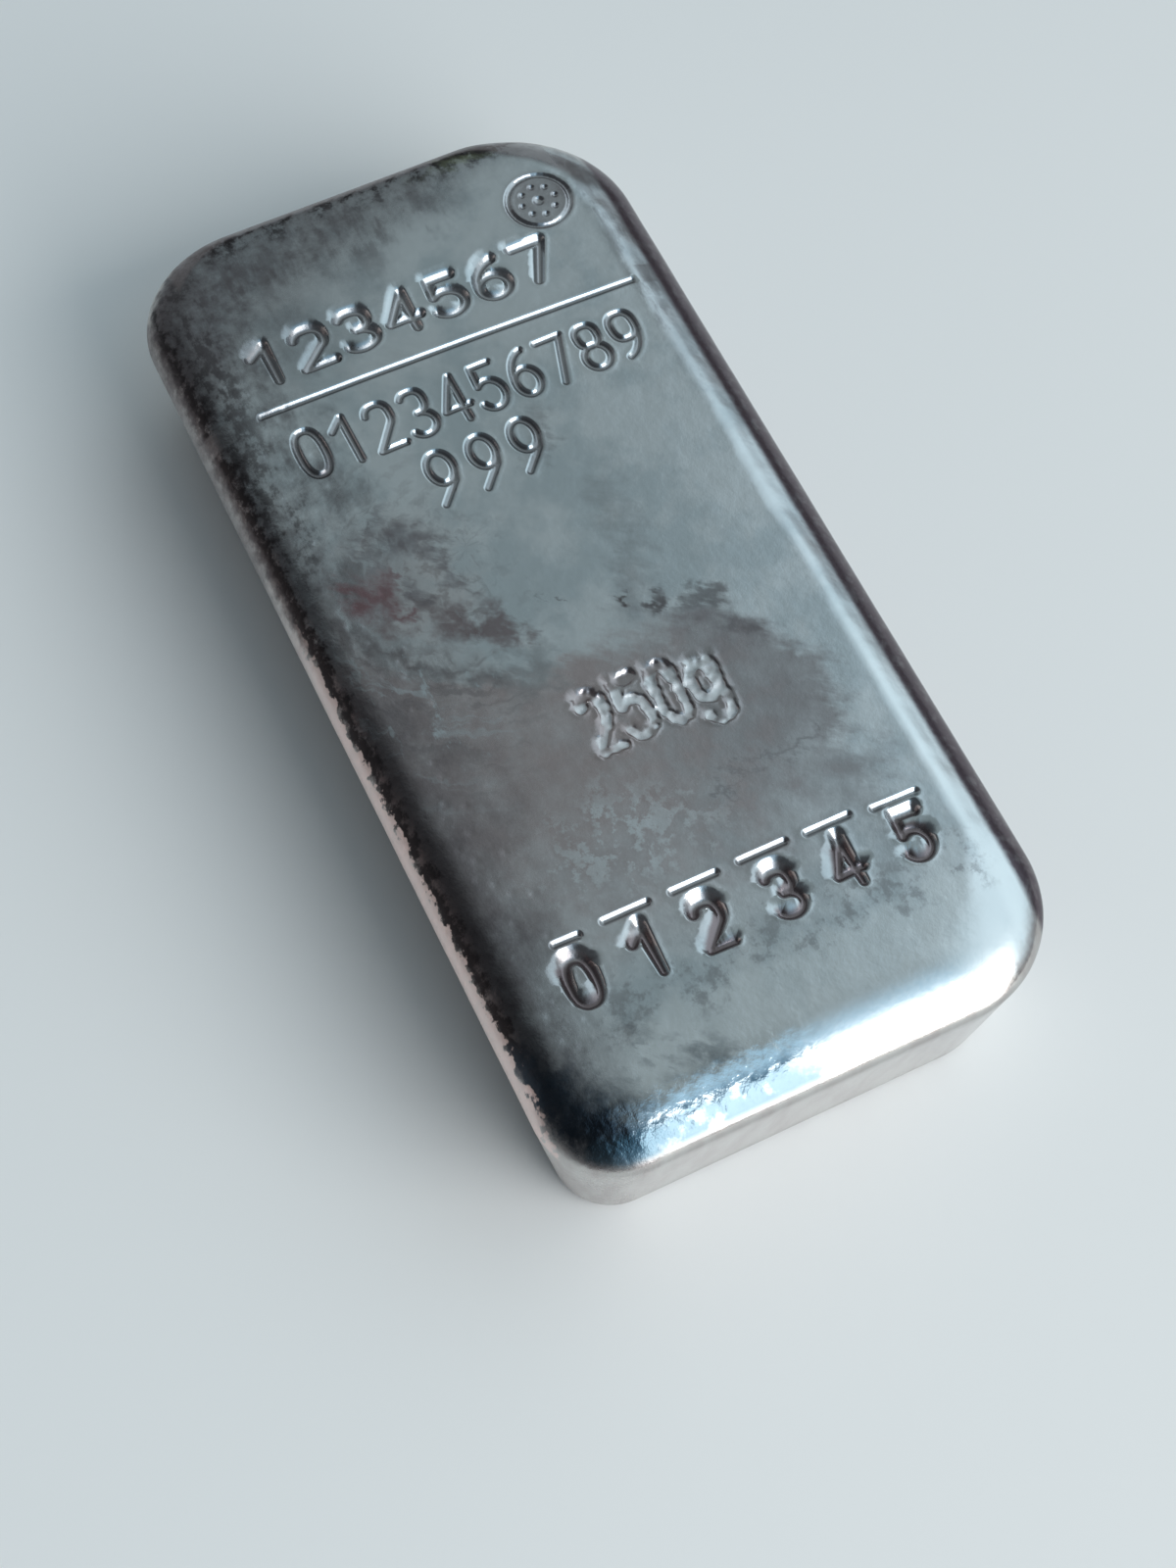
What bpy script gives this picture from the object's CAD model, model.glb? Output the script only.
from math import cos, pi, radians, sin, tan

import bpy
import numpy as np
from mathutils import Matrix, Vector, geometry


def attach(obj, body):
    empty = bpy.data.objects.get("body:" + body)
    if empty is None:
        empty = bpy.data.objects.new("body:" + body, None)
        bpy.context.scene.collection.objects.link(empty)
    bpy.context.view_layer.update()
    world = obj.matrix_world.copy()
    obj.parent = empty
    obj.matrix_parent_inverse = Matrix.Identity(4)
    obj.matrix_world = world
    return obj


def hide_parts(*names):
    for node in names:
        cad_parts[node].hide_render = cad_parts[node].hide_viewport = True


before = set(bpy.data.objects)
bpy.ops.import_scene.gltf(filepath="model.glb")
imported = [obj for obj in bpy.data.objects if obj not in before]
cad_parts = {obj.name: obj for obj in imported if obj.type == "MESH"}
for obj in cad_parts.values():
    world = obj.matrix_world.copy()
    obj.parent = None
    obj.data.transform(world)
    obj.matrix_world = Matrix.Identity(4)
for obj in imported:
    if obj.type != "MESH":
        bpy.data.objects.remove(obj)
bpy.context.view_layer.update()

# ---- The bar ---------------------------------------------------------------
# One ingot of fine silver, poured into an open mould and left to set, then tipped
# out and stamped cold with steel punches. The wall below the rim is the mould's,
# the rolled shoulder and the open face are the metal's own skin.

# Sizes in millimetres, while the frame is in metres. The face lies a little under the top
# of the CAD bar, so that its waves and burrs have room.
MM = 0.001
LENGTH, WIDTH = 65.0, 31.5
RIM_HEIGHT, DRAFT, FLOOR_EDGE = 10.4, radians(8.5), 0.9
ROLL_HEIGHT, FACE_HEIGHT = 2.24, 12.64
# Corners in their order round the bar, seen from above: side in x, side in y, radius
CORNERS = ((1, -1, 7.9), (1, 1, 6.6), (-1, 1, 4.8), (-1, -1, 7.2))
# Width of the rolled shoulder on each side, the share of it that the corner radii lose on
# the way up, and how full the roll is, where 1 is a plain quarter ellipse
ROLL = {"far": 1.8, "left": 2.6, "near": 4.1, "right": 2.95}
ROLL_FOLLOW = 0.25
ROLL_FULLNESS = 1.14
CORNER_POINTS, LONG_SIDE_POINTS, SHORT_SIDE_POINTS = 44, 190, 70
FLOOR_EDGE_RINGS, WALL_RINGS, ROLL_RINGS = 6, 8, 19


def corner_arcs(insets, follow):
    """Centre, radius and sides of each corner, once every side is set in by its own amount."""
    for along, across, radius in CORNERS:
        in_x = insets["far" if along > 0 else "near"]
        in_y = insets["left" if across > 0 else "right"]
        radius -= follow * (in_x + in_y) / 2
        centre = (along * (LENGTH / 2 - in_x - radius), across * (WIDTH / 2 - in_y - radius))
        yield np.array(centre), radius, np.array((along, across))


def outline(insets, follow, height):
    """A ring of points round the bar at one height."""
    arcs = []
    for k, (centre, radius, _) in enumerate(corner_arcs(insets, follow)):
        turn = np.radians(np.linspace(90 * k - 90, 90 * k, CORNER_POINTS))
        arcs.append(centre + radius * np.column_stack([np.cos(turn), np.sin(turn)]))
    points = []
    for k, arc in enumerate(arcs):
        count = LONG_SIDE_POINTS if k % 2 else SHORT_SIDE_POINTS
        share = np.linspace(0, 1, count + 2)[1:-1, None]
        points += [arc, arc[-1] * (1 - share) + arcs[(k + 1) % 4][0] * share]
    points = np.vstack(points)
    return np.column_stack([points, np.full(len(points), height)])


def edge_gap(points, insets, follow):
    """How far points lie inside such a ring, less than 0 outside it."""
    gap = np.full(len(points), LENGTH)
    for centre, radius, side in corner_arcs(insets, follow):
        past = (points - centre) * side
        at_corner = (past > 0).all(1)
        gap = np.minimum(gap, radius - np.where(at_corner, np.hypot(*past.T), past.max(1)))
    return gap


def body_rings():
    """Rings from the floor edge up the mould wall and over the rolled shoulder."""
    edge_inset = RIM_HEIGHT * tan(DRAFT) + FLOOR_EDGE * tan(radians(45) - DRAFT / 2)
    rings = []
    for turn in np.linspace(-pi / 2, -DRAFT, FLOOR_EDGE_RINGS):
        inset = dict.fromkeys(ROLL, edge_inset - FLOOR_EDGE * cos(turn))
        rings.append(outline(inset, 1, FLOOR_EDGE * (1 + sin(turn))))
    for height in np.linspace(rings[-1][0, 2], RIM_HEIGHT, WALL_RINGS)[1:-1]:
        rings.append(outline(dict.fromkeys(ROLL, (RIM_HEIGHT - height) * tan(DRAFT)), 1, height))
    for turn in np.linspace(0, pi / 2, ROLL_RINGS):
        out, up = max(cos(turn), 0) ** ROLL_FULLNESS, sin(turn) ** ROLL_FULLNESS
        inset = {side: width * (1 - out) for side, width in ROLL.items()}
        rings.append(outline(inset, ROLL_FOLLOW, RIM_HEIGHT + ROLL_HEIGHT * up))
    return rings


# Punched signs are plain counting numbers, a fineness, a weight and a rosette. Each stroke
# is drawn down its middle, in a box one wide and one high. The power SQUARE fills out the
# ends of an oval, and BOW_STEP is the turn in degrees from one of its points to the next.
SQUARE = 0.8
BOW_STEP = 11


def bow(u, v, across, up, start, end, power=1.0):
    """Points of an oval arc, from one angle to another, with squarer ends at a lower power."""
    turns = np.radians(np.linspace(start, end, 2 + int(abs(end - start) / BOW_STEP)))
    over, rise = (np.sign(part) * abs(part) ** power for part in (np.cos(turns), np.sin(turns)))
    return list(zip(u + across * over, v + up * rise))


STROKES = {
    "0": [bow(0.5, 0.5, 0.5, 0.5, 0, 360, SQUARE)],
    "1": [[(0.1, 0.76), (0.62, 1), (0.62, 0)]],
    "2": [bow(0.48, 0.72, 0.46, 0.28, 165, -40, SQUARE) + [(0, 0), (1, 0)]],
    "3": [bow(0.46, 0.75, 0.44, 0.25, 150, -90, SQUARE), bow(0.46, 0.25, 0.52, 0.25, 90, -150)],
    "4": [[(0.72, 0), (0.72, 1), (0, 0.3), (1, 0.3)]],
    "5": [[(0.9, 1), (0.16, 1), (0.1, 0.56)] + bow(0.45, 0.32, 0.53, 0.32, 130, -150)],
    "6": [bow(0.5, 0.3, 0.48, 0.3, 0, 360), bow(0.95, 0.3, 0.93, 0.7, 180, 100)],
    "7": [[(0, 1), (1, 1), (0.34, 0)]],
    "8": [bow(0.5, 0.76, 0.42, 0.24, 0, 360, SQUARE), bow(0.5, 0.27, 0.5, 0.27, 0, 360)],
    "9": [bow(0.5, 0.7, 0.48, 0.3, 0, 360, SQUARE), bow(0.05, 0.7, 0.93, 0.7, 0, -80)],
    "fine nine": [bow(0.52, 0.69, 0.42, 0.31, 0, 360), [(0.93, 0.62), (0.8, 0.38), (0.14, 0)]],
    "gram": [
        bow(0.45, 0.7, 0.43, 0.3, 0, 360),
        [(0.92, 1), (0.92, 0.2)] + bow(0.47, 0.2, 0.45, 0.2, 0, -155),
    ],
}
# Punches: half the width of the stroke, the width of its sloping wall, depth, burr, then the
# share by which it is larger at the head of the sign and smaller at its foot, and the share
# by which it is wider on its far side, because the punch was held aslant
BROAD = (0.4, 0.36, 0.39, 0.014, 0.1, 0.18)
SLIM = (0.29, 0.26, 0.21, 0.012, 0.0, 0.0)
SCORE = (0.29, 0.27, 0.2, 0.01, 0.0, 0.0)
ROUGH = (0.42, 0.25, 0.19, 0.03, 0.15, 0.0)
DEEP = (0.42, 0.38, 0.4, 0.015, 0.22, 0.6)
BAR = (0.29, 0.27, 0.2, 0.012, 0.0, 0.0)
RING = (0.23, 0.21, 0.16, 0.01, 0.0, 0.0)
DOT = (0.24, 0.22, 0.15, 0.0, 0.0, 0.0)
HUB = (0.4, 0.24, 0.16, 0.0, 0.0, 0.0)
marks = []


def punch(name, left, foot, width, height, tool, tilt=0.0):
    """Sets one sign on the open face, by its left edge in y and its foot in x."""
    c, s = cos(radians(tilt)), sin(radians(tilt))
    lines = []
    for stroke in STROKES[name]:
        u, v = ((np.array(stroke) - 0.5) * (width, height)).T
        along, across = foot + height / 2 + v * c - u * s, left - width / 2 - u * c - v * s
        lines.append(np.column_stack([along, across]))
    marks.append((lines, tool))


# From the far end: a row of broad signs, a row of slim ones, the fineness, the weight and
# a row of deep signs, each held a little askew
for k, name in enumerate("1234567"):
    punch(name, 10.9 - 2.94 * k, 20.2, 1.95, 2.8, BROAD)
for k, name in enumerate("0123456789"):
    punch(name, 10.75 - 2.27 * k, 13.03 - 0.03 * k, 1.55, 3.25, SLIM, -0.8)
for k in range(3):
    punch("fine nine", 4.55 - 2.7 * k, 8.05, 1.8, 3.55, SLIM)
for name, left, foot, width, height in (
    ("2", 3.2, -10.4, 1.35, 3.75), ("5", 1.1, -10.35, 1.5, 3.7),
    ("0", -1.1, -10.4, 1.4, 3.75), ("gram", -3.2, -11.35, 1.6, 3.85),
):
    punch(name, left, foot, width, height, ROUGH)
for name, left, foot, tilt in (
    ("0", 10.9, -23.55, 1.5), ("1", 6.9, -23.5, -1), ("2", 3.1, -23.55, 2),
    ("3", -1.3, -23.6, 0), ("4", -5.1, -23.5, -2), ("5", -9.3, -23.65, 3),
):
    punch(name, left, foot, 1.5, 2.85, DEEP, tilt)
# The bars over the deep signs, the rule, and the rosette in its ring
for x, left, right, fall in (
    (-19.6, 10.6, 9.2, 0.03), (-19.5, 7.6, 5.0, 0), (-19.55, 3.5, 0.85, 0),
    (-19.5, -0.65, -3.4, 0), (-19.58, -4.75, -7.3, 0), (-19.85, -8.75, -11.35, 0.06),
):
    marks.append(([np.array([(x, left), (x - fall, right)])], BAR))
marks.append(([np.array([(18.26, 11.7), (18.2, 5.0), (18.08, -2.0), (17.8, -12.8)])], SCORE))
ROSETTE = (25.65, -9.95)
marks.append(([np.array(bow(*ROSETTE, 1.95, 1.95, 0, 360))], RING))
for turn in range(0, 360, 45):
    marks.append(([np.array(bow(*ROSETTE, 1.1, 1.1, turn, turn + 1))], DOT))
marks.append(([np.array([ROSETTE, ROSETTE])], HUB))


def growth_at(x, lines, lean):
    """How much larger than its middle size a sign's stroke is at a place along the bar."""
    ends = np.vstack(lines)[:, 0]
    middle, reach = (ends.max() + ends.min()) / 2, max(np.ptp(ends) / 2, 0.1)
    return 1 + lean * np.clip((x - middle) / reach, -1.2, 1.2)


def far_share(ways, skew):
    """How much wider a slanting punch cuts in these directions."""
    return 1 + skew * np.clip(ways[:, 0] / np.maximum(np.hypot(*ways.T), 1e-9), 0, 1) ** 2


def near_mark(points, lines, tool, reach):
    """The points near a sign, and how far each is from the nearest stroke at middle size."""
    half, *_, lean, skew = tool
    margin = (half + reach) * (1 + lean) * (1 + skew)
    ends = np.vstack(lines)
    inside = (points > ends.min(0) - margin) & (points < ends.max(0) + margin)
    near = np.flatnonzero(inside.all(1))
    gap = np.full(len(near), margin)
    for line in lines:
        for start, end in zip(line[:-1], line[1:]):
            run = end - start
            share = np.clip((points[near] - start) @ run / max(run @ run, 1e-9), 0, 1)
            off = points[near] - start - share[:, None] * run
            gap = np.minimum(gap, np.hypot(*off.T) / far_share(off, skew))
    return near, gap / growth_at(points[near, 0], lines, lean)


def smooth(value, low, high):
    share = np.clip((value - low) / (high - low), 0, 1)
    return share * share * (3 - 2 * share)


# The open face is a net of triangles: rows of points that follow each stroke down its
# walls and out over its burr, and an even net between the signs, which is closer near
# them, along the toned left side and along the right brink
STROKE_STEP, FAN_STEP, CLOSEST = 0.1, 15, 0.045
BURR_ROWS = (0.06, 0.17)
BURR_MIDDLE, BURR_WIDTH, BURR_LIMIT = 0.06, 0.1, 0.035
NET_STEP, NET_ROW, NET_REACH = 0.17, 0.866, 0.8
BRINK_GAP = 0.15
TONED_STRIP = 9.8
BRINK_STRIP = -11.6
# Which points of the even net are kept: all, every second one, or none where a sign is
CLOSE, WIDE, CLEARED = 1, 2, 10000


def stroke_rows(lines, tool):
    """Points on both sides of a sign's strokes, in staggered rows at set distances."""
    half, wall, *_, lean, skew = tool
    shares = (0.75, 0.5, 0.25, 0) if skew else (0.67, 0.33, 0)
    rows = [half - wall * share for share in shares] + [half + row for row in BURR_ROWS]
    rows = [0.0] + [half - wall] * (half - wall > CLOSEST) + rows
    fan = np.radians(np.arange(0, 360, FAN_STEP))
    fan = np.column_stack([np.cos(fan), np.sin(fan)])
    found = []
    for place, row in enumerate(rows):
        middle, ways = [], []
        for line in lines:
            for start, end in zip(line[:-1], line[1:]):
                size = max(np.hypot(*(end - start)), 1e-6)
                side = np.array([start[1] - end[1], end[0] - start[0]]) / size
                count = round(size / STROKE_STEP) or 1
                share = (np.arange(count) + 0.25 + 0.5 * (place % 2)) / count
                for way in (side, -side):
                    middle.append(start + share[:, None] * (end - start))
                    ways.append(np.tile(way, (len(share), 1)))
            for corner in line:
                middle.append(np.tile(corner, (len(fan), 1)))
                ways.append(fan)
        middle, ways = np.vstack(middle), np.vstack(ways)
        size = row * growth_at(middle[:, 0], lines, lean) * far_share(ways, skew)
        points = middle + size[:, None] * ways
        near, gap = near_mark(points, lines, tool, 1)
        found.append(points[near][gap > row - 0.006])
    return np.vstack(found)


def face_net():
    """Places of the open face's points, those along the strokes first."""
    strokes = np.vstack([stroke_rows(lines, tool) for lines, tool in marks])
    _, first = np.unique(np.round(strokes / CLOSEST).astype(int), axis=0, return_index=True)
    strokes = strokes[first]
    rows, columns = int(WIDTH / NET_STEP / NET_ROW), int(LENGTH / NET_STEP)
    i, j = np.meshgrid(np.arange(-rows // 2, columns), np.arange(rows), indexing="ij")
    i, j = i.ravel(), j.ravel()
    net = NET_STEP * np.column_stack([i + 0.5 * j, NET_ROW * j]) - (LENGTH / 2, WIDTH / 2)
    step = np.where((net[:, 1] > TONED_STRIP) | (net[:, 1] < BRINK_STRIP), CLOSE, WIDE)
    for lines, tool in marks:
        half = tool[0]
        near, gap = near_mark(net, lines, tool, NET_REACH)
        step[near[gap < half + NET_REACH - 0.01]] = CLOSE
        step[near[gap < half + BURR_ROWS[-1] + 0.07]] = CLEARED
    net = net[(i % step == 0) & (j % step == 0)]
    points = np.vstack([strokes, net])
    return points[edge_gap(points, ROLL, ROLL_FOLLOW) > BRINK_GAP]


# A square of random numbers, large enough for the face in the smallest lumps, which the
# shift brings to its middle
LUMP_CELLS, LUMP_SHIFT = 512, 200


def lumps(points, size, seed):
    """Smooth random numbers from -1 to 1 over the face, in lumps of one size."""
    drawn = np.random.default_rng(seed).uniform(-1, 1, (LUMP_CELLS, LUMP_CELLS))
    cell, share = np.divmod(points / size + LUMP_SHIFT, 1)
    share = share * share * (3 - 2 * share)
    (i, j), (u, v) = cell.astype(int).T, share.T
    near_side = drawn[i, j] * (1 - v) + drawn[i, j + 1] * v
    return near_side * (1 - u) + (drawn[i + 1, j] * (1 - v) + drawn[i + 1, j + 1] * v) * u


# The punch of the weight was worn: uneven along its edge, on its floor and round it
ROUGH_LUMP, ROUGH_EDGE, ROUGH_RISE = 0.34, 0.09, 0.02
ROUGH_FLOOR_LUMP, ROUGH_FLOOR = 0.45, (0.75, 0.5)


def face_height(points):
    """Height of the open face: the punched strokes with their burrs."""
    height = np.full(len(points), FACE_HEIGHT)
    for lines, tool in marks:
        half, wall, depth, burr, lean, _ = tool
        near, gap = near_mark(points, lines, tool, 0.5)
        depth = depth * growth_at(points[near, 0], lines, lean)
        if tool == ROUGH:
            coarse = lumps(points[near], ROUGH_LUMP, 5)
            gap = gap + ROUGH_EDGE * coarse
            least, more = ROUGH_FLOOR
            depth = depth * (least + more * lumps(points[near], ROUGH_FLOOR_LUMP, 8))
            height[near] += ROUGH_RISE * coarse * smooth(gap, half + 0.3, half)
        share = np.clip((half - gap) / wall, 0, 1)
        height[near] -= depth * (0.65 * share + 0.35 * smooth(share, 0, 1))
        ridge = np.exp(-(((gap - half - BURR_MIDDLE) / BURR_WIDTH) ** 2))
        height[near] += burr * ridge * (gap > half - 0.1)
    return np.minimum(height, FACE_HEIGHT + BURR_LIMIT)


def patch(ring, points, heights):
    """A net of triangles that fills a ring, as corners past the ring's own and triangles."""
    flat = np.vstack([ring[:, :2], points])
    around = list(range(len(ring)))
    flat = [Vector(point) for point in flat]
    corners, _, faces, *_ = geometry.delaunay_2d_cdt(flat, [], [around], 1, 1e-7)
    assert len(corners) == len(flat)
    return np.column_stack([points, heights]), np.array(faces)


rings = body_rings()
count, around = len(rings), len(rings[0])
net = face_net()
top_points, top_faces = patch(rings[-1], net, face_height(net))
UNDER_STEP, UNDER_GAP = 1.5, 0.6
under_x, under_y = np.arange(-30, 30.1, UNDER_STEP), np.arange(-13.5, 13.6, UNDER_STEP)
under = np.stack(np.meshgrid(under_x, under_y), -1).reshape(-1, 2)
wall_foot = dict.fromkeys(ROLL, WIDTH / 2 - rings[0][:, 1].max())
under = under[edge_gap(under, wall_foot, 1) > UNDER_GAP]
under_points, under_faces = patch(rings[0], under, np.zeros(len(under)))

last = (count - 1) * around
step = np.arange(around)
turned = np.roll(step, -1)
faces = []
for k in range(count - 1):
    low, high = k * around, (k + 1) * around
    faces += np.column_stack([low + step, low + turned, high + turned, high + step]).tolist()
top_start = count * around
under_start = top_start + len(top_points)
top_faces = np.where(top_faces < around, top_faces + last, top_faces - around + top_start)
under_faces = np.where(under_faces < around, under_faces, under_faces - around + under_start)
faces += top_faces.tolist() + under_faces[:, ::-1].tolist()
points = np.vstack(rings + [top_points, under_points])

# The skin sets in its own way: on the right it rolls over a wavy brink, and towards the
# near roll it sinks a little
BRINK_LUMPS = ((0.2, 3.1), (0.12, 1.3), (0.05, 0.6))
BRINK_SET_IN, BRINK_DROP, BRINK_RUN = 0.12, 0.2, 1.4
SAG, SAG_START, SAG_END = 0.12, -25.4, -31.0
seen = points[:, :2]
wave = sum(size * lumps(seen, length, 11 + k) for k, (size, length) in enumerate(BRINK_LUMPS))
past = wave + BRINK_SET_IN - edge_gap(seen, ROLL, ROLL_FOLLOW)
fall = BRINK_DROP * smooth(past, 0, BRINK_RUN)
fall *= smooth(points[:, 1], -7.5, -10.5) * smooth(points[:, 0], -28.5, -24)
fall += SAG * smooth(points[:, 0], SAG_START, SAG_END)
points[:, 2] -= fall * smooth(points[:, 2], RIM_HEIGHT, RIM_HEIGHT + 1.6)
body = bpy.data.meshes.new("cast_bar")
body.from_pydata(points * MM, [], faces)
body.shade_smooth()


class Flow:
    """One socket of a node tree. Sums on it add Math nodes, and make() adds any other node."""

    def __init__(self, tree, node=None, output=0):
        self.tree, self.node = tree, node
        self.socket = node.outputs[output] if node and len(node.outputs) else None

    def make(self, kind, settings=None, values=None, output=0):
        node = self.tree.nodes.new(kind)
        for name, value in (settings or {}).items():
            setattr(node, name, value)
        for name, value in (values or {}).items():
            if isinstance(value, Flow):
                self.tree.links.new(value.socket, node.inputs[name])
            else:
                node.inputs[name].default_value = value
        return Flow(self.tree, node, output)

    def out(self, output):
        return Flow(self.tree, self.node, output)

    def sum(self, operation, a, b):
        return self.make("ShaderNodeMath", {"operation": operation}, {0: a, 1: b})

    def __add__(self, other):
        return self.sum("ADD", self, other)

    def __sub__(self, other):
        return self.sum("SUBTRACT", self, other)

    def __rsub__(self, other):
        return self.sum("SUBTRACT", other, self)

    def __mul__(self, other):
        return self.sum("MULTIPLY", self, other)

    def __truediv__(self, other):
        return self.sum("DIVIDE", self, other)

    def __rtruediv__(self, other):
        return self.sum("DIVIDE", other, self)

    def __pow__(self, other):
        return self.sum("POWER", self, other)

    __radd__, __rmul__ = __add__, __mul__

    def soft(self, low, high):
        """0 below low, 1 above high, eased between; low may be the larger."""
        values = {"Value": self, "From Min": low, "From Max": high}
        return self.make("ShaderNodeMapRange", {"interpolation_type": "SMOOTHSTEP"}, values)

    def over(self, under, top):
        """Colour top laid over colour under, by this much."""
        values = {0: self, 6: under, 7: top}
        return self.make("ShaderNodeMix", {"data_type": "RGBA"}, values, 2)


# Colours of the metal: clean silver, the brown haze, and the greys and blacks of the tarnish
CLEAN = (0.628, 0.66, 0.672, 1)
CLOUDED = (0.5, 0.55, 0.57, 1)
PALE = (0.78, 0.81, 0.81, 1)
HAZE = (0.41, 0.35, 0.345, 1)
COOL_HAZE = (0.31, 0.295, 0.3, 1)
SLATE = (0.24, 0.235, 0.24, 1)
SHADE = (0.14, 0.125, 0.13, 1)
UMBER = (0.21, 0.16, 0.165, 1)
RUSSET = (0.22, 0.11, 0.12, 1)
SOOT = (0.045, 0.04, 0.042, 1)
INK = (0.05, 0.066, 0.085, 1)
FILM = (0.1, 0.155, 0.19, 1)
GREEN = (0.3, 0.33, 0.2, 1)
TAN = (0.86, 0.7, 0.66, 1)
PLUM = (0.13, 0.105, 0.12, 1)
WALL = (0.6, 0.585, 0.565, 1)

toned = bpy.data.materials.new("toned_silver")
toned.use_nodes = True
toned.node_tree.nodes.clear()
start = Flow(toned.node_tree)
place = start.make("ShaderNodeTexCoord", output="Object")


def parts(vector):
    split = start.make("ShaderNodeSeparateXYZ", values={0: vector})
    return [split.out(axis) for axis in "XYZ"]


def grain(size, detail=3.0, rough=0.5, stretch=(1, 1, 1), shift=0.0, output=0):
    """Noise about 0 whose lumps are some size millimetres across, stretched along an axis."""
    values = {"Vector": place, "Scale": stretch, "Location": (shift, shift, shift)}
    spot = start.make("ShaderNodeMapping", values=values)
    values = {"Vector": spot, "Scale": 1000 / size, "Detail": detail, "Roughness": rough}
    noise = start.make("ShaderNodeTexNoise", values=values, output=output)
    return [axis - 0.5 for axis in parts(noise)] if output == "Color" else noise - 0.5


x, y, z = (axis * 1000 for axis in parts(place))
broad = grain(5.0, 3, 0.5, output="Color")
close = grain(1.5, 3, 0.6, output="Color")
tight = grain(0.5, 3, 0.6, output="Color")
cloud = broad[2]
ragged = grain(2.4, 6, 0.62, shift=0.1)
speck = grain(0.75, 4, 0.68)
lump = grain(1.5, 2, 0.5, shift=0.7)
fine = grain(0.26, 3, 0.6)
combed = grain(1.0, 4, 0.62, (0.3, 1, 1))


def drawn_out(across, along, scale):
    """Noise about 0 in streaks, on a grid of its own."""
    spot = start.make("ShaderNodeCombineXYZ", values={"X": across, "Y": along})
    values = {"Vector": spot, "Scale": scale, "Detail": 4.0, "Roughness": 0.6}
    return start.make("ShaderNodeTexNoise", values=values) - 0.5


# Stains are laid out on a grid that noise has pulled about, so that no edge is even, and
# smeared along the way the metal ran
RUN_X, RUN_Y = 0.63, 0.77
PULLS = ((broad, 5), (close, 3), (tight, 0.5))
SMEAR_REACH = 6
smear = drawn_out(x * RUN_Y - y * RUN_X, (x * RUN_X + y * RUN_Y) * 0.3, 1.1)


def pulled(value, axis, run):
    for noise, reach in PULLS:
        value = value + noise[axis] * reach
    return value + smear * (SMEAR_REACH * run)


stain_x, stain_y = pulled(x, 0, RUN_X), pulled(y, 1, RUN_Y)
# Arcs round the middle of the ring-shaped stain
CURL = (5.0, 4.5)
curl_x, curl_y = x - CURL[0], y - CURL[1]
reach = (curl_x * curl_x + curl_y * curl_y) ** 0.5 + close[0] * 2
swirl = drawn_out(reach / 0.8, start.sum("ARCTAN2", curl_y, curl_x) * 2.4, 1.0)


def blot(at_x, at_y, half_x, half_y, edge=0.8):
    """A stain round one place on the face: 1 in its middle, 0 outside."""
    along, over = (stain_x - at_x) / half_x, (stain_y - at_y) / half_y
    return ((along * along + over * over) ** 0.5 + ragged * 0.5).soft(1 + edge, 1 - edge)


def trail(ax, ay, bx, by, half, fade=0.6):
    """A stain drawn out from one place to another."""
    run_x, run_y = bx - ax, by - ay
    off_x, off_y = stain_x - ax, stain_y - ay
    share = (off_x * run_x + off_y * run_y) / (run_x ** 2 + run_y ** 2)
    share = start.make("ShaderNodeClamp", values={0: share})
    off_x, off_y = off_x - share * run_x, off_y - share * run_y
    return ((off_x * off_x + off_y * off_y) ** 0.5 + ragged * 0.8).soft(half + fade, half - fade)


def joined(*masks):
    """The stronger of several stains at each place."""
    whole = masks[0]
    for mask in masks[1:]:
        whole = start.sum("MAXIMUM", whole, mask)
    return whole


# Where the tarnish lies. The open face first, then its left side: grey over the outer
# third, soot along the brink, and a rim that is rubbed bare towards the near end
on_face = (z + speck * 1.2).soft(10.95, 11.75)
mottle = (ragged * 5 + combed * 7 + speck * 4) * x.soft(3, 12) + ragged * 4 + combed * 2
left_shade = (y + broad[1] * 7 + mottle).soft(7.3, 15.2)
left_soot = (y + close[1] * 1.2 + speck * 2.4).soft(14.35, 14.9)
left_rim = (y + close[1] * 1.6 + tight[1] * 1.2).soft(15.15, 15.3)
left_rim = left_rim * (x + close[0] * 9).soft(9.0, -3.0)
left_edge = (y + tight[1] * 0.8).soft(14.9, 15.2) * (x + close[0] * 9).soft(3.0, 10.0)
left_deep = (y + ragged * 2).soft(12.0, 14.2) * (x + ragged * 6).soft(2, -8)
dark_side = (y + broad[1] * 3).soft(10.8, 13.0) * (x + ragged * 8).soft(3, 10)
dark_side = dark_side * (combed + speck).soft(-0.03, 0.1)
near_left = x.soft(-20.5, -25.0) * y.soft(8.0, 12.0)
near_corner = (y - x * 0.55 + ragged * 4 + close[0] * 2).soft(26.2, 29.0) * near_left
# The far end
broad_shade = blot(21.5, 8.0, 2.8, 4.5)
far_shade = (x + y * 0.35 + broad[0] * 4 + ragged * 5 + combed * 2).soft(23.6, 30.2)
far_soot = (x + ragged * 5 + speck * 3).soft(29.6, 31.6) * (x + tight[0] * 0.4).soft(31.6, 31.1)
far_streaks = (x + broad[0] * 6).soft(24.5, 27.5) * y.soft(-7, -1)
far_streaks = far_streaks * (combed + ragged * 0.5).soft(0.0, 0.14)
verdigris = blot(30.9, -6.4, 0.6, 2.2)
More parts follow.
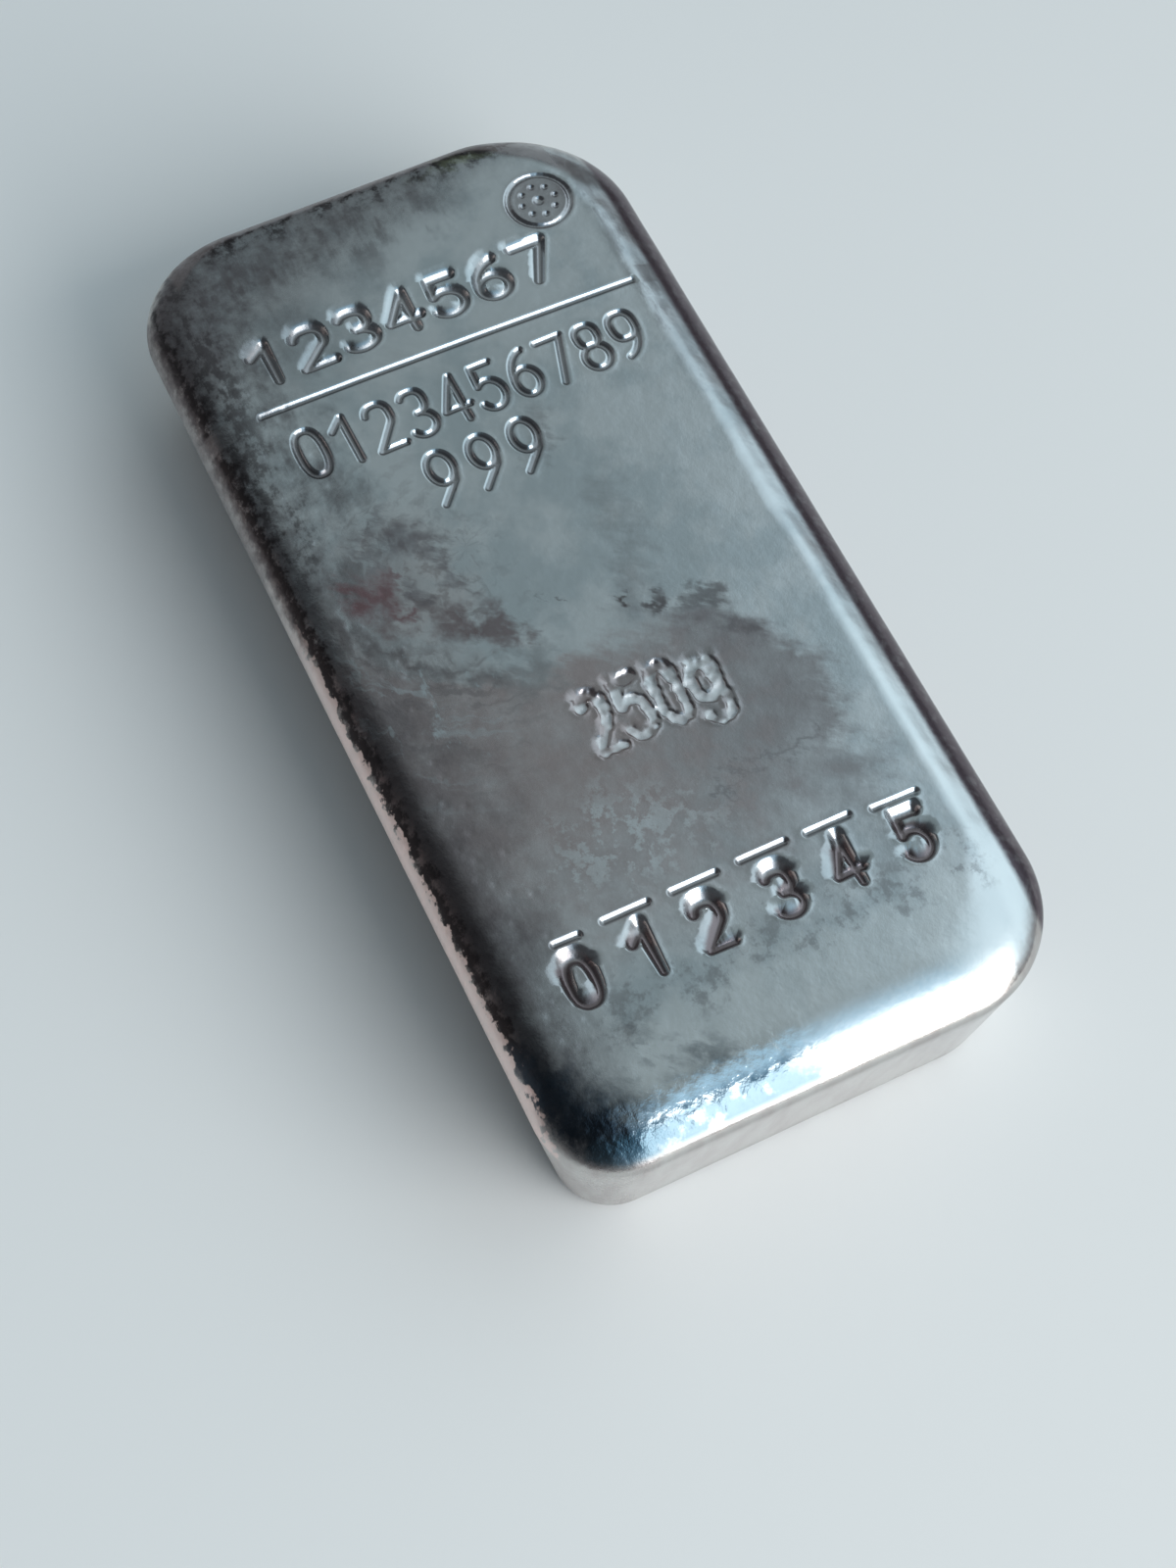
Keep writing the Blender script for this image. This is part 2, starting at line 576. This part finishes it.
# The brown haze round the weight, with pale flecks and the line of a dried drop
haze_top = (stain_x - start.sum("MAXIMUM", y - 5, 0) * 0.55 + ragged * 2).soft(-3.4, -5.8)
haze_foot = (stain_x + ragged * 6).soft(-25.5, -12.5)
haze_right = (stain_y - start.sum("MAXIMUM", x + 4, -6) * 0.55 + ragged * 2).soft(-8.0, -5.6)
haze = haze_top * haze_foot * haze_right
flecks = blot(-15.4, 4.2, 2.4, 4.6) * (ragged + speck).soft(-0.02, 0.12)
contour = trail(-14.9, -1.5, -14.9, -8.6, 0.06, 0.35)
under_deep = (x + ragged * 6).soft(-21.5, -23.4) * (x + ragged * 6).soft(-26.6, -24.8)
# The stain on the left of the middle: a ring round a swirl, brown and red patches, a pale
# streak and the darker ground beneath it
swirls = blot(2.0, 10.0, 9.0, 5.5)
veil = blot(3.2, 8.8, 4.6, 3.4)
ring = joined(
    trail(8.9, 8.1, 6.4, 10.3, 0.3, 0.6) * 0.6, trail(7.0, 8.6, 5.8, 6.3, 0.6, 0.7) * 0.85,
    trail(6.0, 6.1, 2.0, 5.8, 0.3, 0.6) * 0.75, blot(3.0, 8.8, 0.8, 0.6) * 0.8,
)
brown = joined(
    trail(2.6, 10.2, 0.4, 8.0, 0.5, 0.9) * 0.8, trail(0.2, 7.8, -0.3, 5.2, 0.9, 0.8) * 0.85,
    trail(-0.3, 5.6, -1.4, 4.3, 0.5, 0.6) * 0.8,
)
brown = brown * (close[2] + ragged).soft(-0.22, 0.06)
red = joined(
    blot(4.7, 11.2, 1.4, 0.95), blot(5.0, 10.1, 0.9, 0.35) * 0.8,
    trail(3.3, 11.0, 2.7, 9.9, 0.2, 0.4),
)
pale_streak = joined(
    trail(3.2, 11.6, 0.6, 10.2, 0.2, 0.7), trail(0.6, 10.2, -2.2, 5.6, 0.3, 0.8),
    trail(-2.2, 5.6, -4.3, 2.2, 0.4, 0.9),
)
sparks = blot(-3.0, 9.5, 3.2, 4.5) * (combed + speck * 0.6).soft(0.1, 0.2)
beneath = joined(
    trail(3.0, 12.9, -1.0, 10.0, 0.8, 1.2), trail(-1.0, 10.0, -3.8, 6.4, 0.7, 1.2),
)
beneath = beneath * (combed + ragged).soft(-0.2, 0.1)
# The middle of the face: the haze's dark edge, a wedge, and scattered spots
middle = joined(blot(-3.6, 4.0, 1.2, 1.2) * 0.7, blot(-4.9, 5.2, 1.2, 1.6) * 0.5)
bruise = trail(-2.6, -2.4, -6.4, -7.2, 0.7, 1.6) * (combed + ragged).soft(-0.3, 0.1)
vee = joined(trail(5.0, -4.5, 0.6, -3.8, 0.6, 1.4), trail(0.6, -3.8, -3.0, -1.6, 0.7, 1.3))
spots = joined(
    blot(-3.4, -4.1, 0.45, 0.7) * 0.9, blot(-2.1, -1.9, 0.4, 0.3),
    blot(-3.9, -6.4, 0.9, 0.7) * 0.7, blot(-6.4, -7.0, 0.8, 0.9) * 0.5,
    trail(0.0, 2.1, -1.0, 1.7, 0.06, 0.2) * 0.7, blot(10.0, -2.2, 1.4, 0.9) * 0.4,
)
# The right side, which wear keeps bright, and the near roll, with a blue film on its left
bright_band = (x + ragged * 8).soft(-3, -13) * y.soft(-12.3, -13.1)
right_wear = (combed + ragged * 0.7).soft(-0.08, 0.1) * 0.6 + 0.3
right_wear = right_wear * x.soft(6, 14) * y.soft(-12.0, -12.8)
right_rim = y.soft(-13.9, -14.4) * (z + tight[0] * 0.4).soft(12.35, 12.1)
near_end = (x + ragged * 4).soft(-24.2, -26.2)
near_spots = joined(
    blot(-28.7, 5.8, 0.7, 1.4), blot(-28.6, 10.4, 0.8, 0.9), blot(-26.6, 8.5, 0.5, 0.7) * 0.7,
)
near_roll = x.soft(-28.4, -29.6) * z.soft(11.0, 11.8)
sparkling = near_roll * y.soft(-1.0, 3.5)
film = (x + ragged * 2).soft(-30.1, -31.0) * (y + ragged * 6 + close[1] * 3).soft(-1.2, 2.2)
film = film * (close[2] + speck * 0.5).soft(0.35, 0.02) * z.soft(10.8, 11.3)
# The punched signs: what lies just under the face and what lies deep, row by row
on_flat = y.soft(-12.4, -12.1) * y.soft(12.9, 12.5) * x.soft(-26.0, -25.0)
pressed = on_flat * z.soft(12.59, 12.5)
sunk = on_flat * z.soft(12.52, 12.38)
broad_row = x.soft(19.6, 19.9) * x.soft(23.8, 23.6)
rule_row = x.soft(17.3, 17.5) * x.soft(18.9, 18.7)
slim_rows = x.soft(7.6, 7.9) * x.soft(16.7, 16.5)
bar_row = x.soft(-20.1, -19.9) * x.soft(-19.1, -19.3)
deep_row = x.soft(-19.6, -20.2)
deep_heads = x.soft(-21.0, -20.6)
weight = z.soft(12.59, 12.53) * x.soft(-6.9, -7.2) * x.soft(-12.6, -12.4) * (y * y).soft(36, 30)
weight_heads = weight * (x - y * 0.25).soft(-7.6, -7.2)
frosted = weight - weight_heads * 0.5
off_x, off_y = x - ROSETTE[0], y - ROSETTE[1]
stamp = (off_x * off_x + off_y * off_y).soft(6.2, 3.4)

haze_tone = (y + ragged * 14).soft(-8, 3).over(COOL_HAZE, HAZE)
tone = (cloud * 1.2 + ragged * 0.8).soft(-0.16, 0.2).over(CLEAN, CLOUDED)
for cover, colour in (
    (near_end * 0.5, PALE),
    (vee * 0.35, SLATE),
    (haze * (0.9 + ragged), haze_tone),
    (far_shade * (0.73 + speck * 0.8), SHADE),
    (broad_shade * 0.3, SHADE),
    (left_shade * (0.88 + speck * 0.5), SHADE),
    (swirls * swirl.soft(-0.02, 0.14) * 0.55, SHADE),
    (swirls * swirl.soft(-0.05, -0.16) * 0.5, CLOUDED),
    (veil * 0.4, HAZE),
    (ring * 0.75, PLUM),
    (brown, UMBER),
    (middle, SLATE),
    (beneath * 0.75, SHADE),
    (bruise * 0.4, PLUM),
    (pale_streak * 0.5, CLOUDED),
    (spots, SHADE),
    (red * 0.8, RUSSET),
    (sparks * 0.7, CLOUDED),
    (flecks * 0.8, CLEAN),
    (contour * 0.5, SHADE),
    (under_deep * (ragged + speck).soft(0.0, 0.2) * 0.55, SLATE),
    (far_soot * (ragged + speck).soft(-0.08, 0.12), SOOT),
    (left_soot, SOOT),
    (dark_side * 0.45, SOOT),
    (far_streaks * 0.45, SHADE),
    (right_wear * 0.7, SLATE),
    (near_spots * (0.42 + speck), INK),
    (left_deep * 0.35, SOOT),
    (near_corner * (0.92 + speck), INK),
    (sunk * 0.4, HAZE),
    (pressed * slim_rows * 0.55, SHADE),
    (pressed * broad_row * 0.35, SLATE),
    (z.soft(12.59, 12.5) * rule_row * 0.7, SLATE),
    (pressed * bar_row * 0.4, SLATE),
    (sunk * deep_row * (0.85 - deep_heads * 0.75), UMBER),
    (stamp * (0.5 + ragged), UMBER),
    (verdigris * 0.4, GREEN),
    (bright_band * 0.7, PALE),
    (weight * (0.8 + speck), CLEAN),
):
    tone = cover.over(tone, colour)
streaks = grain(1.1, 3, 0.55, (1, 1, 0.18))
wall_tone = (streaks.soft(-0.2, 0.25) * 0.6).over(WALL, HAZE)
tone = (1 - on_face).over(tone, wall_tone)
tone = (film * 0.92).over(tone, FILM)
tone = (left_edge * (0.6 + speck)).over(tone, SHADE)
tone = (left_rim * (z + tight[2] * 2).soft(9.4, 10.6) * (0.8 + speck)).over(tone, TAN)
tone = (right_rim * (1 + speck)).over(tone, PLUM)

# Roughness goes up where the metal is toned or punched, and down where the roll sparkles
dull = left_shade * 0.1 + haze * 0.05 + far_shade * 0.1 + left_soot * 0.1 + fine * 0.14
dull = dull + sunk * 0.13 - sunk * deep_row * 0.06 + frosted * 0.15
dull = dull + near_roll * 0.03 - sparkling * 0.12 + 0.2
relief = fine * 0.12 + speck * (y.soft(6.8, 14.8) * 0.8 + 0.12 - near_roll * 0.1)
relief = relief + lump * (0.4 - near_roll * 0.3) + (lump * 3 + speck * 0.8) * sparkling
bump = {"Height": relief, "Strength": 0.45, "Distance": 0.09 * MM}
bump = start.make("ShaderNodeBump", values=bump)
# The signs of the weight are frosted: their rough floors scatter the light
frost = {"Base Color": tone, "Roughness": dull, "Metallic": 1 - frosted * 0.6, "Normal": bump}
shell = start.make("ShaderNodeBsdfPrincipled", values=frost)
start.make("ShaderNodeOutputMaterial", values={"Surface": shell})

# The skin: slow waves all over it, and pits along the toned left side
SKIN = {
    "Wave Height": 0.05 * MM,
    "Wave Length": 7.0 * MM,
    "Ripple Height": 0.012 * MM,
    "Ripple Length": 1.6 * MM,
    "Pit Spacing": 0.9 * MM,
    "Pit Reach": 0.3 * MM,
    "Pit Depth": 0.035 * MM,
    "Seed": 7,
}
skin = bpy.data.node_groups.new("cast_skin", "GeometryNodeTree")
skin.interface.new_socket("Bar", in_out="INPUT", socket_type="NodeSocketGeometry")
skin.interface.new_socket("Bar", in_out="OUTPUT", socket_type="NodeSocketGeometry")
for name, value in SKIN.items():
    kind = "NodeSocketInt" if name == "Seed" else "NodeSocketFloat"
    skin.interface.new_socket(name, in_out="INPUT", socket_type=kind)
flow = Flow(skin)
given = flow.make("NodeGroupInput")
here = flow.make("GeometryNodeInputPosition")
height = flow.make("ShaderNodeSeparateXYZ", values={0: here}).out("Z")
across = flow.make("ShaderNodeSeparateXYZ", values={0: here}).out("Y")
lifted = height.soft(0.5 * MM, 1.5 * MM)
PIT_DENSITY = 1.2e6
# The noise is taken below 0 nearly everywhere, so that the skin stays inside the CAD bar
SWELL_MIDDLE = 0.75


def swell(size):
    values = {"Vector": here, "Scale": 1 / given.out(size), "Detail": 2.0}
    return flow.make("ShaderNodeTexNoise", values=values) - SWELL_MIDDLE


waves = swell("Wave Length") * given.out("Wave Height")
waves = waves + swell("Ripple Length") * given.out("Ripple Height")
edge = across.soft(8 * MM, 13 * MM) * height.soft(11 * MM, 12.4 * MM)
pits = flow.make(
    "GeometryNodeDistributePointsOnFaces",
    {"distribute_method": "POISSON"},
    {
        "Mesh": given.out("Bar"), "Distance Min": given.out("Pit Spacing"),
        "Density Max": PIT_DENSITY, "Density Factor": edge, "Seed": given.out("Seed"),
    },
)
pit_gap = flow.make("GeometryNodeProximity", {"target_element": "POINTS"}, {0: pits}, "Distance")
sunk_in = (pit_gap / given.out("Pit Reach")).soft(1, 0) * given.out("Pit Depth")
push = (waves - sunk_in) * lifted
normal = flow.make("GeometryNodeInputNormal")
offset = flow.make("ShaderNodeVectorMath", {"operation": "SCALE"}, {0: normal, "Scale": push})
moved = {"Geometry": given.out("Bar"), "Offset": offset}
moved = flow.make("GeometryNodeSetPosition", values=moved)
whole = flow.make("GeometryNodeRealizeInstances", values={0: moved})
dressed = flow.make("GeometryNodeSetMaterial", values={0: whole, "Material": toned})
flow.make("NodeGroupOutput", values={0: dressed})

bar = bpy.data.objects.new("cast_bar", body)
bpy.context.scene.collection.objects.link(bar)
growth = bar.modifiers.new("cast_skin", "NODES")
growth.node_group = skin
for item in skin.interface.items_tree:
    if item.in_out == "INPUT" and item.name in SKIN:
        growth[item.identifier] = SKIN[item.name]
ready = bpy.context.evaluated_depsgraph_get()
finished = bpy.data.meshes.new_from_object(bar.evaluated_get(ready))
bar.modifiers.clear()
bar.data = finished
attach(bar, "root")
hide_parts("silver_bar")

# ---- Floor -----------------------------------------------------------------
# A plain pale sheet under the bar, as in a product photograph. It isn't part of the
# object; it takes the shadow and shows in the mould wall as a soft reflection.
SHEET_HALF = 0.7
SHEET_COLOUR = (0.86, 0.85, 0.83, 1)
sheet_mesh = bpy.data.meshes.new("pale_sheet")
sides = ((-1, -1), (1, -1), (1, 1), (-1, 1))
sheet_mesh.from_pydata([(SHEET_HALF * a, SHEET_HALF * b, 0) for a, b in sides], [], [(0, 1, 2, 3)])
paper = bpy.data.materials.new("pale_paper")
paper.use_nodes = True
paper.node_tree.nodes.clear()
page = Flow(paper.node_tree)
matt = page.make("ShaderNodeBsdfPrincipled", values={"Base Color": SHEET_COLOUR, "Roughness": 0.75})
page.make("ShaderNodeOutputMaterial", values={"Surface": matt})
sheet_mesh.materials.append(paper)
sheet = bpy.data.objects.new("pale_sheet", sheet_mesh)
bpy.context.scene.collection.objects.link(sheet)

# ---- Light -----------------------------------------------------------------
# One large soft box beyond the near end of the bar, on its right, in a pale room
# that is darker on the left.
BOX_TOWARDS = Vector((-0.803, -0.373, 0.461)).normalized()
BOX_EDGE = Vector((0.209, -0.927, -0.276))
BOX_DISTANCE = 0.6
BOX_SIDES = (0.46, 0.55)
BOX_POWER = 3.3
lamp = bpy.data.lights.new("soft_box", "AREA")
lamp.shape = "RECTANGLE"
lamp.size, lamp.size_y = BOX_SIDES
lamp.energy = BOX_POWER
lamp.color = (1.0, 0.985, 0.965)
soft_box = bpy.data.objects.new("soft_box", lamp)
soft_box.location = BOX_TOWARDS * BOX_DISTANCE
upright = BOX_TOWARDS.cross(BOX_EDGE).normalized()
facing = Matrix((upright.cross(BOX_TOWARDS), upright, BOX_TOWARDS)).transposed()
soft_box.rotation_euler = facing.to_euler()
bpy.context.scene.collection.objects.link(soft_box)

room = bpy.data.worlds.new("pale_room")
room.use_nodes = True
room.node_tree.nodes.clear()
air = Flow(room.node_tree)
towards = air.make("ShaderNodeTexCoord", output="Generated")


def glow(direction, narrow, wide):
    """1 towards a direction, falling to 0 at the wide angle, both in degrees."""
    values = {0: towards, 1: Vector(direction).normalized()}
    cosine = air.make("ShaderNodeVectorMath", {"operation": "DOT_PRODUCT"}, values, "Value")
    return cosine.soft(cos(radians(wide)), cos(radians(narrow)))


# The room's own tone, then what stands out from it: a blue glow round the soft box, two
# pale screens on the right, a dark screen on the left, the dim lower wall and one warm
# patch low on the left
light = (0.312, 0.367, 0.384, 1)
for direction, narrow, wide, colour in (
    ((-0.7, -0.15, 0.69), 18, 40, (0.5, 0.78, 1.0, 1)),
    ((0.17, -0.73, 0.62), 23, 37, (0.7, 0.84, 0.92, 1)),
    ((-0.1, -0.86, 0.5), 26, 41, (0.84, 1.02, 1.12, 1)),
    ((-0.15, 0.85, 0.5), 40, 62, (0.065, 0.072, 0.08, 1)),
):
    light = glow(direction, narrow, wide).over(light, colour)
low = air.make("ShaderNodeSeparateXYZ", values={0: towards}).out("Z").soft(0.45, 0.12)
light = (low * 0.8).over(light, (0.17, 0.155, 0.165, 1))
light = glow((0.4, 0.9, 0.06), 9, 21).over(light, (0.5, 0.43, 0.41, 1))
sky = air.make("ShaderNodeBackground", values={"Color": light, "Strength": 1.0})
air.make("ShaderNodeOutputWorld", values={"Surface": sky})
bpy.context.scene.world = room

# ---- Camera ----------------------------------------------------------------
# Above the near end and a little to the left, as the photograph was taken; the
# image is 1200 by 1600, so the sensor's 36 mm lie along its height.
camera_data = bpy.data.cameras.new("camera")
camera_data.sensor_width = 36.0
camera_data.lens = 60.763
camera_data.clip_start = 0.01
camera = bpy.data.objects.new("camera", camera_data)
camera.location = (-0.06833, 0.03411, 0.14421)
camera.rotation_euler = tuple(radians(angle) for angle in (25.8348, -0.75382, -115.84531))
bpy.context.scene.collection.objects.link(camera)
bpy.context.scene.camera = camera
bpy.context.scene.view_settings.view_transform = "Standard"
